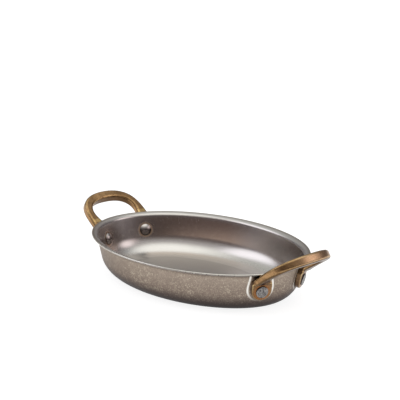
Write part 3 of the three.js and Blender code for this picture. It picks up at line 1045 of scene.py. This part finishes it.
clear_space = make_clear_space()
half_turn = Matrix.Rotation(math.pi, 4, "Z")
right_handle = make_handle("right_loop_handle", clear_space)
discard(clear_space)
shade(right_handle, HANDLE_CREASE)
mark_wear(right_handle)
right_handle.data.materials.append(brass)
left_handle = bpy.data.objects.new("left_loop_handle", right_handle.data.copy())
bpy.context.scene.collection.objects.link(left_handle)
left_handle.data.transform(half_turn)
place(right_handle, "right_handle", "brass")
place(left_handle, "left_handle", "brass")

for end, sides in RIVET_SIDES.items():
    for row, side in sides.items():
        rivet = make_rivet(f"{end}_{row}_riveting", rivet_frames[side])
        if end == "left":
            rivet.data.transform(half_turn)
        shade(rivet, RIVET_CREASE)
        dress_rivet(rivet)
        place(rivet, f"{end}_{row}_rivet", "rivets")


# Camera

def make_camera():
    back = Vector((
        math.sin(CAMERA_AZIMUTH) * math.cos(CAMERA_ELEVATION),
        -math.cos(CAMERA_AZIMUTH) * math.cos(CAMERA_ELEVATION),
        math.sin(CAMERA_ELEVATION),
    ))
    level = Vector((math.cos(CAMERA_AZIMUTH), math.sin(CAMERA_AZIMUTH), 0))
    upright = back.cross(level)
    right = math.cos(CAMERA_ROLL) * level + math.sin(CAMERA_ROLL) * upright
    up = math.cos(CAMERA_ROLL) * upright - math.sin(CAMERA_ROLL) * level
    place_mm = PICTURE_RIGHT * right + PICTURE_UP * up + CAMERA_DISTANCE * back
    data = bpy.data.cameras.new("camera")
    data.sensor_width = CAMERA_SENSOR
    data.lens = CAMERA_LENS
    data.clip_start = CAMERA_CLIP * MM
    camera = bpy.data.objects.new("camera", data)
    bpy.context.scene.collection.objects.link(camera)
    turn = Matrix((right, up, back)).transposed().to_4x4()
    camera.matrix_world = Matrix.Translation(place_mm * MM) @ turn
    bpy.context.scene.camera = camera


make_camera()


# Floor and light

FLOOR_SIZE = 60000.0
FLOOR_DROP = 0.05
FLOOR_COLOUR = (0.35, 0.35, 0.35, 1)
FLOOR_LIFT = 0.88

# Studio as the dish sees it. Azimuth 0 is towards the camera and 90 to the picture's right.
# A panel of light has a colour, a centre as azimuth and elevation, and the angles from its centre
# where it begins to fade and where it ends.
LIGHT_PANELS = {
    "left": ((1.78, 1.78, 1.9, 1), (-101, 34), (17, 23)),
    "side": ((0.8, 0.7, 0.7, 1), (66, 25), (2, 16)),
    "right": ((1.62, 1.46, 1.48, 1), (86, 28), (4, 21)),
    "back": ((0.64, 0.66, 0.63, 1), (-140, 42), (4, 26)),
    "overhead": ((1.57, 1.6, 1.55, 1), (0, 90), (14, 42)),
}

# The room lies on the camera's side and the backdrop behind the dish. Their fades are elevations.
BACKDROP_LOW_COLOUR = (0.168, 0.15, 0.158, 1)
BACKDROP_HIGH_COLOUR = (0.6, 0.62, 0.62, 1)
BACKDROP_FADE = (24, 62)
ROOM_LOW_COLOUR = (0.06, 0.043, 0.05, 1)
ROOM_LEFT_COLOUR = (0.1, 0.074, 0.083, 1)
ROOM_HIGH_COLOUR = (0.72, 0.7, 0.69, 1)
ROOM_FADE = (10, 68)
HORIZON_COLOUR = (1, 1, 1, 1)
HORIZON_FADE = (1.5, 3.5)

# How far a direction turns to the left, and to the camera
LEFT_FADE = (-0.1, 0.8)
CAMERA_SIDE_FADE = (-0.4, 0.4)


def make_floor():
    """A pale floor, lifted to white where the camera or a shiny surface sees it.

    The object's shadow stays on it.
    """
    half = FLOOR_SIZE / 2
    mesh = bpy.data.meshes.new("floor")
    signs = ((-1, -1), (1, -1), (1, 1), (-1, 1))
    corners = [(x * half * MM, y * half * MM, -FLOOR_DROP * MM) for x, y in signs]
    mesh.from_pydata(corners, [], [(0, 1, 2, 3)])
    floor = bpy.data.objects.new("floor", mesh)
    bpy.context.scene.collection.objects.link(floor)
    material = bpy.data.materials.new("floor_white")
    material.use_nodes = True
    nodes = Nodes(material.node_tree)
    paint = nodes.tree.nodes["Principled BSDF"]
    paint.inputs["Base Color"].default_value = FLOOR_COLOUR
    paint.inputs["Roughness"].default_value = 1.0
    paint.inputs["Specular IOR Level"].default_value = 0.0
    path = nodes.add("ShaderNodeLightPath").outputs
    seen = nodes.math("ADD", path["Is Camera Ray"], path["Is Glossy Ray"])
    seen = nodes.math("ADD", seen, path["Is Transmission Ray"], clamp=True)
    paint.inputs["Emission Color"].default_value = (1, 1, 1, 1)
    nodes.feed(paint.inputs["Emission Strength"], nodes.both(seen, FLOOR_LIFT))
    mesh.materials.append(material)


def seen_from_dish(azimuth, elevation):
    """A direction from the dish, from degrees round from the camera and degrees up."""
    turn = CAMERA_AZIMUTH + math.radians(azimuth)
    rise = math.radians(elevation)
    return math.sin(turn) * math.cos(rise), -math.cos(turn) * math.cos(rise), math.sin(rise)


def make_world():
    """A dim room with a paler backdrop, a white horizon and soft panels of light."""
    world = bpy.data.worlds.new("studio")
    bpy.context.scene.world = world
    world.use_nodes = True
    nodes = Nodes(world.node_tree)
    way = nodes.add("ShaderNodeTexCoord").outputs["Generated"]

    def facing(azimuth, elevation):
        return nodes.vector("DOT_PRODUCT", way, seen_from_dish(azimuth, elevation))

    def climb(elevations, low_light, high_light):
        low, high = (math.sin(math.radians(angle)) for angle in elevations)
        return nodes.mix(nodes.step(facing(0, 90), low, high), low_light, high_light)

    backdrop = climb(BACKDROP_FADE, BACKDROP_LOW_COLOUR, BACKDROP_HIGH_COLOUR)
    low_room = nodes.mix(nodes.step(facing(-90, 0), *LEFT_FADE), ROOM_LOW_COLOUR, ROOM_LEFT_COLOUR)
    room = climb(ROOM_FADE, low_room, ROOM_HIGH_COLOUR)
    light = nodes.mix(nodes.step(facing(0, 0), *CAMERA_SIDE_FADE), backdrop, room)
    light = climb(HORIZON_FADE, HORIZON_COLOUR, light)
    for colour, centre, spread in LIGHT_PANELS.values():
        inner, outer = (math.cos(math.radians(angle)) for angle in spread)
        light = nodes.mix(nodes.step(facing(*centre), outer, inner), light, colour)
    nodes.feed(world.node_tree.nodes["Background"].inputs["Color"], light)


make_floor()
make_world()
bpy.context.scene.view_settings.view_transform = "Standard"
